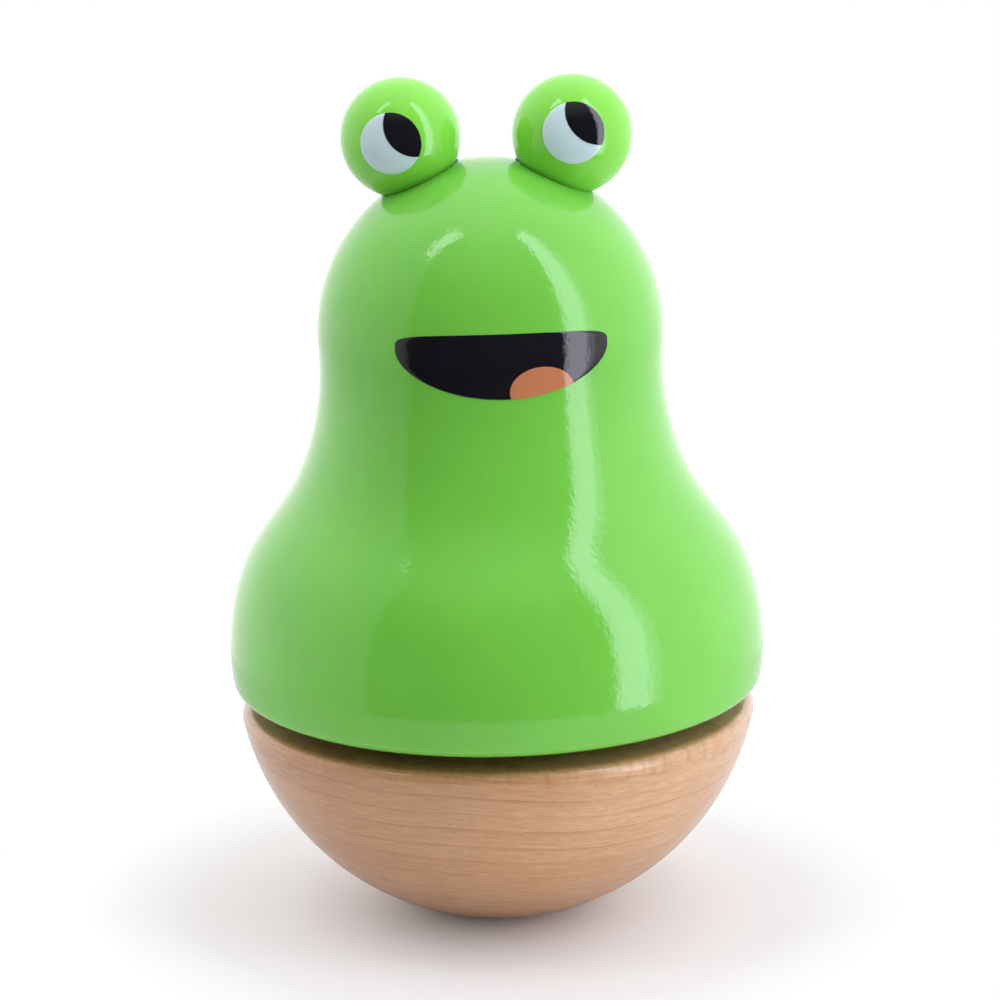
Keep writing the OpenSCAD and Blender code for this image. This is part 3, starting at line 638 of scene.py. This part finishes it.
def flank():
    """Where the soft run leaves the neck and meets the belly, and its points without the first one."""
    leaves = math.pi + belly_end - FLANK_UP / NECK_CURVE
    meets = belly_end - FLANK_DOWN / BELLY_CURVE
    first = neck_c + NECK_CURVE * heading(leaves)
    last = belly_c + BELLY_CURVE * heading(meets)
    before = first + FLANK_HANDLES[0] * Vector((-math.sin(leaves), math.cos(leaves)))
    after = last - FLANK_HANDLES[1] * Vector((math.sin(meets), -math.cos(meets)))
    return leaves, meets, interpolate_bezier(first, before, after, last, FLANK_POINTS)[1:]


def body_profile():
    """The body from the crown down the outside, and up the hollow back to the axis."""
    bore_top = HEAD_Z + HEAD_BORE_RISE
    cone_in, cone_down = HEAD_BORE_CONE
    neck_stop, belly_start, soft_run = flank()
    return [
        (0, HEAD_Z + head_r),
        *arc(head_c, head_r, QUARTER, head_end),
        *arc(neck_c, NECK_CURVE, math.pi + head_end, neck_stop),
        *soft_run,
        *arc(belly_c, BELLY_CURVE, belly_start, edge_end),
        *arc(edge_c, BODY_EDGE, edge_end, -QUARTER, EDGE_STEP),
        (floor_r, body_z),
        (floor_r, plate_z),
        (CAVITY_R, plate_z),
        (CAVITY_R, plate_z + CAVITY_BEND),
        (CAVITY_TOP_R, plate_z + CAVITY_TOP),
        (HEAD_BORE_R, plate_z + CAVITY_TOP),
        (HEAD_BORE_R, bore_top - cone_down),
        (HEAD_BORE_R - cone_in, bore_top),
        (0, bore_top),
    ]


def head_radius(z):
    """Distance of the head's or neck's surface from the axis."""
    if z >= HEAD_Z + head_r * math.sin(head_end):
        return math.sqrt(head_r ** 2 - (z - HEAD_Z) ** 2)
    return neck_c.x - math.sqrt(NECK_CURVE ** 2 - (z - neck_c.y) ** 2)


def bowl_profile():
    """The bowl from the foot up the outside, over the rim and down the pocket of the weight."""
    middle = math.sqrt(BOWL_R ** 2 - FOOT_R ** 2)
    foot_end = math.asin(FOOT_R / BOWL_R) - QUARTER
    rim_end = math.asin((rim_z - RIM_EDGE - middle) / (BOWL_R - RIM_EDGE))
    rim_c = (
        (BOWL_R - RIM_EDGE) * math.cos(rim_end),
        middle + (BOWL_R - RIM_EDGE) * math.sin(rim_end),
    )
    return [
        (0, 0),
        (FOOT_R, 0),
        *arc((0, middle), BOWL_R, foot_end, rim_end),
        *arc(rim_c, RIM_EDGE, rim_end, QUARTER, EDGE_STEP),
        (weight_r, rim_z),
        (weight_r, weight_z),
        (PILOT_R, weight_z),
        (PILOT_R, weight_z - PILOT_DEPTH),
        (0, weight_z - PILOT_DEPTH),
    ]


def eye_profile():
    """An eye ball from its crown down to its flat, and up the hole of its dowel."""
    flat_end = -math.asin(EYE_SEAT / eye_r)
    return [
        (0, eye_r),
        *arc((0, 0), eye_r, QUARTER, flat_end, EYE_STEP),
        (DOWEL_R, -EYE_SEAT),
        (DOWEL_R, DOWEL_DEPTH - EYE_SEAT),
        (0, DOWEL_DEPTH - EYE_SEAT),
    ]


def seat_profile():
    """What the drill takes out of the head under an eye: a spot face and the hole of the dowel."""
    bottom = -EYE_SEAT - DOWEL_DEPTH
    return [
        (0, 0), (SPOT_R, 0), (SPOT_R, -EYE_SEAT), (DOWEL_R, -EYE_SEAT), (DOWEL_R, bottom), (0, bottom),
    ]


def eye_frame(side):
    """Middle of an eye, with its seat straight below it."""
    lean = Matrix.Rotation(math.radians(side * EYE_TILT), 4, "Y")
    return Matrix.Translation((side * eye_x, 0, eye_z)) @ lean


def make_body():
    """The turned body, with a seat drilled for each eye."""
    green = finishes["green_lacquer"]
    body = turn("frog_body", body_profile(), BODY_FACETS, green)
    for side, _ in EYES.values():
        drill = turn("drill", seat_profile(), CUTTER_FACETS, green, eye_frame(side))
        cut = body.modifiers.new("seat", "BOOLEAN")
        cut.operation = "DIFFERENCE"
        cut.solver = "EXACT"
        cut.object = drill
        bake(body)
        bpy.data.objects.remove(drill)
    body.data.set_sharp_from_angle(angle=SHARP)
    settle(body, "frog", "green_lacquer", "body_shell")


def make_bowl():
    """The turned bowl."""
    bowl = turn("beech_bowl", bowl_profile(), BODY_FACETS, finishes["beech"])
    settle(bowl, "base", "beech", "base_bowl")


def make_eyes():
    """The two eye balls."""
    green = finishes["eye_lacquer"]
    for word, (side, _) in EYES.items():
        ball = turn(f"eye_ball_{word}", eye_profile(), EYE_FACETS, green, eye_frame(side))
        settle(ball, "frog", "eye_lacquer", f"eye_{word}")


# Prints

def film_points(outline, middle, on_surface, lower):
    """A film's middle, its rings out to the rounded edge, and the ring and the middle under it."""
    shares = [(i + 1) / FILM_RINGS for i in range(FILM_RINGS - 1)]
    shares.append((FILM_RINGS - FILM_EDGE) / FILM_RINGS)
    points = [on_surface(middle, lower + FILM)]
    for share in shares:
        points += [on_surface(middle.lerp(p, share), lower + FILM) for p in outline]
    points += [on_surface(p, lower + FILM / 2) for p in outline]
    points += [on_surface(p, lower - SUNK) for p in outline]
    points.append(on_surface(middle, lower - SUNK))
    return points


def film_faces(count, last):
    """Faces between the rings of a film, each of so many points, and its two middles."""
    under = last - count
    faces = []
    for i in range(count):
        after = (i + 1) % count
        faces.append((0, 1 + i, 1 + after))
        for ring in range(1, under, count):
            outer = ring + count
            faces.append((ring + i, outer + i, outer + after, ring + after))
        faces.append((under + i, last, under + after))
    return faces


def film(name, outline, middle, on_surface, lower, slot, node):
    """A thin closed film inside an outline; on_surface places a point at a height over the ground."""
    points = film_points(outline, middle, on_surface, lower)
    faces = film_faces(len(outline), len(points) - 1)
    settle(solid(name, points, faces, finishes[slot]), "frog", slot, node)


def aim(sideways, upwards):
    """Direction from the middle of an eye, in degrees from straight ahead."""
    a = math.radians(sideways)
    b = math.radians(upwards)
    return Vector((math.cos(b) * math.sin(a), -math.cos(b) * math.cos(a), math.sin(b)))


def circle_round(axis, angle, count=OUTLINE_POINTS):
    """Directions on a circle round an axis, at an angle from it in degrees."""
    start = axis.orthogonal().normalized()
    side = axis.cross(start)
    tilt = math.radians(angle)
    turns = [math.tau * i / count for i in range(count)]
    return [
        axis * math.cos(tilt) + (start * math.cos(t) + side * math.sin(t)) * math.sin(tilt)
        for t in turns
    ]


def crossings(first, first_angle, second, second_angle):
    """The two directions that lie at given angles from two axes."""
    between = first.dot(second)
    a = math.cos(math.radians(first_angle))
    b = math.cos(math.radians(second_angle))
    across = first.cross(second)
    share = 1 - between ** 2
    base = ((a - b * between) * first + (b - a * between) * second) / share
    rise = math.sqrt(1 - base.length_squared) / across.length
    return base + rise * across, base - rise * across


def arc_between(axis, start, end, count=OUTLINE_POINTS // 2):
    """Directions from start towards end, turning round an axis the short way, without the end."""
    flat_start = start - start.dot(axis) * axis
    flat_end = end - end.dot(axis) * axis
    turn_by = flat_start.angle(flat_end)
    if axis.dot(flat_start.cross(flat_end)) < 0:
        turn_by = -turn_by
    return [Matrix.Rotation(turn_by * i / count, 3, axis) @ start for i in range(count)]


def make_eye_prints():
    """The white of each eye, and its pupil where a second circle crosses the white."""
    for word, (side, (sideways, upwards)) in EYES.items():
        place = Vector((side * eye_x, 0, eye_z))

        def on_ball(direction, height, place=place):
            return place + direction.normalized() * (eye_r + height)

        white = aim(sideways, upwards)
        dark = aim(sideways + PUPIL_STEP[0], upwards + PUPIL_STEP[1])
        film(
            f"eye_white_film_{word}", circle_round(white, WHITE_ANGLE), white, on_ball, 0,
            "white_print", f"eye_white_{word}",
        )
        tip, other_tip = crossings(white, WHITE_ANGLE, dark, PUPIL_ANGLE)
        leaf = arc_between(white, tip, other_tip) + arc_between(dark, other_tip, tip)
        film(
            f"pupil_film_{word}", leaf, (tip + other_tip).normalized(), on_ball, FILM,
            "black_print", f"pupil_{word}",
        )


def mouth_point(a):
    """Outline of the mouth seen from the front: a flat upper lip over a deep lower lip."""
    rise = math.sin(a)
    if rise >= 0:
        lip = MOUTH_RISE * rise ** UPPER_LIP_BEND
    else:
        lip = -MOUTH_DROP * abs(rise) ** LOWER_LIP_BEND
    return Vector((MOUTH_W / 2 * math.cos(a), lip))


def lower_lip(x):
    """Height of the lower lip at a distance from the middle of the mouth."""
    return mouth_point(-math.acos(2 * x / MOUTH_W)).y


def tongue_outline():
    """Oval tongue, cut off below by the lower lip."""
    wide, tall = TONGUE_REACH
    angles = [math.tau * i / OUTLINE_POINTS for i in range(OUTLINE_POINTS)]
    ring = [TONGUE_AT + Vector((wide * math.cos(a), tall * math.sin(a))) for a in angles]
    return [Vector((p.x, max(p.y, lower_lip(p.x)))) for p in ring]


def make_mouth():
    """The mouth, wrapped round the head, and the tongue on it."""
    turned = Matrix.Rotation(math.radians(MOUTH_TURN), 3, "Z")

    def on_head(point, height):
        z = MOUTH_Z + point.y
        reach = head_radius(z) + height
        return turned @ Vector((point.x, -math.sqrt(reach ** 2 - point.x ** 2), z))

    mouth = [mouth_point(math.tau * i / OUTLINE_POINTS) for i in range(OUTLINE_POINTS)]
    middle = Vector((0, (MOUTH_RISE - MOUTH_DROP) / 2))
    film("mouth_film", mouth, middle, on_head, 0, "black_print", "mouth_print")
    tongue = tongue_outline()
    tip = TONGUE_AT.y + TONGUE_REACH[1]
    middle = Vector((TONGUE_AT.x, (lower_lip(TONGUE_AT.x) + tip) / 2))
    film("tongue_film", tongue, middle, on_head, FILM, "tongue_print", "tongue_print")


# Click spring

def spring_outline():
    """Points round the tab, and along the leaf's lower and upper edge from tab to tip."""
    along = (LEAF_TIP - TAB_AT).normalized()
    lift = Vector((0, LEAF_T))
    leaves_at = math.sqrt(TAB_R ** 2 - (LEAF_T * along.x) ** 2) - LEAF_T * along.y
    upper_start = lift + leaves_at * along
    start = math.atan2(upper_start.y, upper_start.x)
    end = math.tau + math.atan2(along.y, along.x)
    angles = [start + (end - start) * i / TAB_FACETS for i in range(1, TAB_FACETS)]
    shares = [i / LEAF_STEPS for i in range(LEAF_STEPS + 1)]
    tab = [TAB_AT + TAB_R * heading(a) for a in angles]
    lower = [(TAB_AT + TAB_R * along).lerp(LEAF_TIP, share) for share in shares]
    upper = [(TAB_AT + upper_start).lerp(LEAF_TIP + lift, share) for share in shares]
    return tab, lower, upper


def spring_faces(foot, count):
    """Faces of tab and leaf, below and above, and of the edge; the leaf's points start at its foot."""
    tab = [*range(foot + 1), count - 1]
    strip = [
        (foot + i, foot + i + 1, count - 2 - i, count - 1 - i)
        for i in range(LEAF_STEPS)
    ]
    faces = []
    for face in (tab, *strip):
        faces.append(face)
        faces.append([i + count for i in face])
    for i in range(count):
        after = (i + 1) % count
        faces.append((i, after, after + count, i + count))
    return faces


def make_click_spring():
    """The leaf keeps to the pawl at its tip and to the great wheel at its tab, straight between them."""
    low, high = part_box("click_spring")
    tab, lower, upper = spring_outline()
    outline = tab + lower + upper[::-1]
    points = [(p.x, p.y, low.z) for p in outline]
    points += [(p.x, p.y, high.z) for p in outline]
    faces = spring_faces(len(tab), len(outline))
    spring = solid("click_leaf", points, faces, finishes["blued_steel"])
    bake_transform(spring)
    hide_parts("click_spring")


def dress_nodes():
    """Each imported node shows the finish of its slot."""
    for part in frame["record"]["subparts"]:
        mesh = frame["nodes"][part["node"]].data
        mesh.materials.clear()
        mesh.materials.append(finishes[part["material_slot"]])


# Studio

FLOOR_R = 0.195
FLOOR_FACETS = 96
FLOOR_CLOUDS = 60
FLOOR_TONES = ((NOISE_LOW, (0.935, 0.92, 0.93, 1)), (NOISE_HIGH, (0.955, 0.94, 0.95, 1)))
# Distance at which the floor starts to fade into the backdrop, and at which it has
NEAR_FLOOR = 0.008
FAR_FLOOR = 0.105
# Backdrop that the floor fades into, as steps of a share of the fading and a grey; the greys under 1
# paint a soft shadow round the object
PAINTED_SHADOW_TO_BACKDROP = ((0.5, 0.7), (0.6, 0.83), (0.75, 0.98), (0.85, 1.0))
# Share of the floor's colour that gloss mirrors
MIRRORED_FLOOR = 0.72
# Even light from above and from below, and the heights between which one passes into the other
FILL = 0.47
FILL_BELOW = 0.41
FILL_PASSES = (0.45, 0.55)
# Brightness of what gloss mirrors where its grey is 1
MIRRORED = 1.5
# What gloss mirrors, as steps of a place and a grey: from straight before the object
# to straight behind it on either side, and from straight down to straight up
ROOM_LEFT = ((0.0, 0.04), (0.21, 0.04), (0.235, 0.48), (0.5, 0.82), (0.75, 0.95), (1.0, 1.0))
ROOM_RIGHT = ((0.0, 0.04), (0.31, 0.04), (0.345, 0.86), (0.55, 0.86), (0.75, 0.95), (1.0, 1.0))
ROOM_BELOW = ((0.3, 0.7), (0.46, 1.0))
ROOM_ABOVE = ((0.5, 0.0), (0.8, 0.06), (0.95, 0.42), (0.975, 0.6), (1.0, 1.0))
NEUTRAL = (1, 1, 1)
COOL = (0.86, 0.87, 1)
# Upright panels: bearing from the camera's side in degrees, distance, width, lower and upper end,
# brightness, tint, shown by gloss
PANELS = {
    "key_strip": (58.5, 0.6, 0.24, -0.2, 1.85, 1.75, COOL, True),
    "key_middle": (57.5, 0.6, 0.185, -0.2, 1.8, 1.65, COOL, True),
    "key_core": (57, 0.6, 0.145, -0.2, 1.7, 2.1, COOL, True),
    "right_panel": (104, 0.75, 0.96, -0.5, 1.2, 0.95, NEUTRAL, False),
    "left_panel": (-98.5, 0.8, 1.42, 0.35, 1.55, 1.4, NEUTRAL, False),
}
# Panels overhead, level: place, width, depth, turn in degrees, brightness, tint, shown by gloss
OVERHEAD = {
    "top_panel": ((0, 0.1, 1.1), 1.0, 1.0, 0, 1.88, NEUTRAL, False),
    "left_bar": ((-0.385, -0.21, 0.85), 0.44, 0.13, 21, 1.2, NEUTRAL, True),
    "left_core": ((-0.385, -0.21, 0.84), 0.36, 0.09, 21, 3.4, NEUTRAL, True),
}


def floor_finish():
    """Pale and matt; what the camera sees of it fades into the backdrop through a painted shadow of
    darker greys round the object.
    """
    material, tree, shader, place = new_finish("pale_floor")
    ray = make(tree, "ShaderNodeLightPath").outputs
    pale = ramp(tree, noise(tree, place, FLOOR_CLOUDS, detail=3), FLOOR_TONES)
    mirrored = greys(tree, ray["Is Glossy Ray"], ((0, 1), (1, MIRRORED_FLOOR)))
    dress(tree, shader, Base_Color=multiply(tree, pale, mirrored), Roughness=0.6)
    away = make(tree, "ShaderNodeVectorMath", {0: place}, operation="LENGTH").outputs["Value"]
    far = spread(tree, away, 0, 1, NEAR_FLOOR, FAR_FLOOR)
    # Painted shadow: greys that darken what the camera sees of the floor round the object, before it
    # turns into the white backdrop
    backdrop = make(tree, "ShaderNodeEmission", {
        "Color": greys(tree, far, PAINTED_SHADOW_TO_BACKDROP), "Strength": 1.0,
    }).outputs["Emission"]
    faded = calculate(tree, "MULTIPLY", far, ray["Is Camera Ray"])
    mixed = either(tree, faded, shader.outputs["BSDF"], backdrop)
    tree.links.new(mixed, tree.nodes["Material Output"].inputs["Surface"])
    return material


def make_floor():
    """Round floor that keeps the shadow near the object."""
    angles = [math.tau * i / FLOOR_FACETS for i in range(FLOOR_FACETS)]
    rim = [(FLOOR_R * math.cos(a), FLOOR_R * math.sin(a), 0) for a in angles]
    mesh = bpy.data.meshes.new("pale_floor")
    mesh.from_pydata(rim, [], [range(FLOOR_FACETS)])
    floor = add_piece("pale_floor", mesh)
    mesh.materials.append(floor_finish())


def painted_room(tree, towards, way, rise):
    """What gloss mirrors: a dark front, bright sides, a white back and a white ceiling."""
    level = make(tree, "ShaderNodeVectorMath", {
        0: towards, 1: (1, 1, 0),
    }, operation="MULTIPLY").outputs[0]
    ahead = make(tree, "ShaderNodeVectorMath", {0: level}, operation="NORMALIZE").outputs[0]
    back = make(tree, "ShaderNodeSeparateXYZ", {0: ahead}).outputs["Y"]
    behind = spread(tree, back, 0, 1, -1, 1)
    rightwards = calculate(tree, "GREATER_THAN", way["X"], 0.0)
    sides = mix(tree, rightwards, greys(tree, behind, ROOM_LEFT), greys(tree, behind, ROOM_RIGHT))
    walls = multiply(tree, sides, greys(tree, rise, ROOM_BELOW))
    return mix(tree, 1.0, walls, greys(tree, rise, ROOM_ABOVE), "LIGHTEN")


def background(tree, colour, strength):
    """Light from far away on all sides."""
    return make(tree, "ShaderNodeBackground", {"Color": colour, "Strength": strength}).outputs[0]


def make_world():
    """Even fill light, a painted room for gloss and a white backdrop for the camera."""
    world = bpy.data.worlds.new("studio")
    scene.world = world
    world.use_nodes = True
    tree = world.node_tree
    tree.nodes.clear()
    ray = make(tree, "ShaderNodeLightPath").outputs
    towards = make(tree, "ShaderNodeTexCoord").outputs["Generated"]
    way = make(tree, "ShaderNodeSeparateXYZ", {0: towards}).outputs
    rise = spread(tree, way["Z"], 0, 1, -1, 1)
    white = srgb(*WHITE)
    fill = background(tree, white, spread(tree, rise, FILL_BELOW, FILL, *FILL_PASSES))
    mirrored = background(tree, painted_room(tree, towards, way, rise), MIRRORED)
    lit = either(tree, ray["Is Glossy Ray"], fill, mirrored)
    seen = either(tree, ray["Is Camera Ray"], lit, background(tree, white, 1.0))
    make(tree, "ShaderNodeOutputWorld", {"Surface": seen})


def soft_box(name, place, faces, width, height, brightness, tint, mirrored):
    """Area lamp that faces one way; brightness is what a mirror would show of it."""
    light = bpy.data.lights.new(name, "AREA")
    light.shape = "RECTANGLE"
    light.size = width
    light.size_y = height
    light.energy = brightness * math.pi * width * height
    light.color = tint
    lamp = bpy.data.objects.new(name, light)
    lamp.matrix_world = Matrix.Translation(place) @ faces.to_4x4()
    lamp.visible_camera = False
    lamp.visible_glossy = mirrored
    scene.collection.objects.link(lamp)


def make_lights():
    """Upright panels that face the axis, and level ones that face down."""
    for name, (bearing, distance, width, low, high, *look) in PANELS.items():
        a = math.radians(bearing)
        out = Vector((math.sin(a), -math.cos(a), 0))
        place = distance * out + Vector((0, 0, (low + high) / 2))
        inwards = (-out).to_track_quat("-Z", "Y").to_matrix()
        soft_box(name, place, inwards, width, high - low, *look)
    for name, (place, width, depth, turned, *look) in OVERHEAD.items():
        level = Matrix.Rotation(math.radians(turned), 3, "Z")
        soft_box(name, Vector(place), level, width, depth, *look)


def make_camera():
    """Camera at the photograph's viewing angle."""
    right = Vector((math.cos(CAMERA_YAW), math.sin(CAMERA_YAW), 0))
    ahead = Vector((
        -math.sin(CAMERA_YAW) * math.cos(CAMERA_DIP),
        math.cos(CAMERA_YAW) * math.cos(CAMERA_DIP),
        -math.sin(CAMERA_DIP),
    ))
    up = right.cross(ahead)
    across = right * math.cos(CAMERA_ROLL) + up * math.sin(CAMERA_ROLL)
    upright = up * math.cos(CAMERA_ROLL) - right * math.sin(CAMERA_ROLL)
    data = bpy.data.cameras.new("camera")
    data.sensor_width = SENSOR
    data.lens = SENSOR * FOCAL_PIXELS / FRAME_PIXELS
    camera = bpy.data.objects.new("camera", data)
    turned = Matrix((across, upright, -ahead)).transposed().to_4x4()
    camera.matrix_world = Matrix.Translation(CAMERA_AT) @ turned
    scene.collection.objects.link(camera)
    scene.camera = camera


make_camera()
dress_nodes()
make_body()
make_bowl()
make_eyes()
make_eye_prints()
make_mouth()
make_click_spring()
make_floor()
make_world()
make_lights()
scene.view_settings.view_transform = "Standard"
